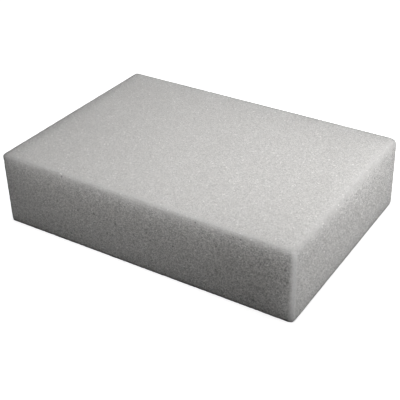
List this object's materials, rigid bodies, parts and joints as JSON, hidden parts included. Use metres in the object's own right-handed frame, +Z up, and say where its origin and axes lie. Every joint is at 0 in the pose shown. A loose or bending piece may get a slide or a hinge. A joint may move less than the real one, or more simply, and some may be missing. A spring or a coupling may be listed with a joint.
{
  "type": "foam block",
  "caption": "Rectangular block of light grey open-cell foam with flat sawn faces and soft edges, for padding, packing or cutting to shape.",
  "frame": {"origin": "middle of the underside, in the plane of the surface that the block lies on", "axes": "+X along the length, +Y along the width, +Z up through the thickness"},
  "size_m": [0.216, 0.152, 0.051],
  "materials": {
    "foam": "light grey open-cell polyurethane foam, matt, sawn, with fine cells that glint here and there"
  },
  "bodies": {
    "root": {"foam_block": "foam"}
  },
  "joints": []
}
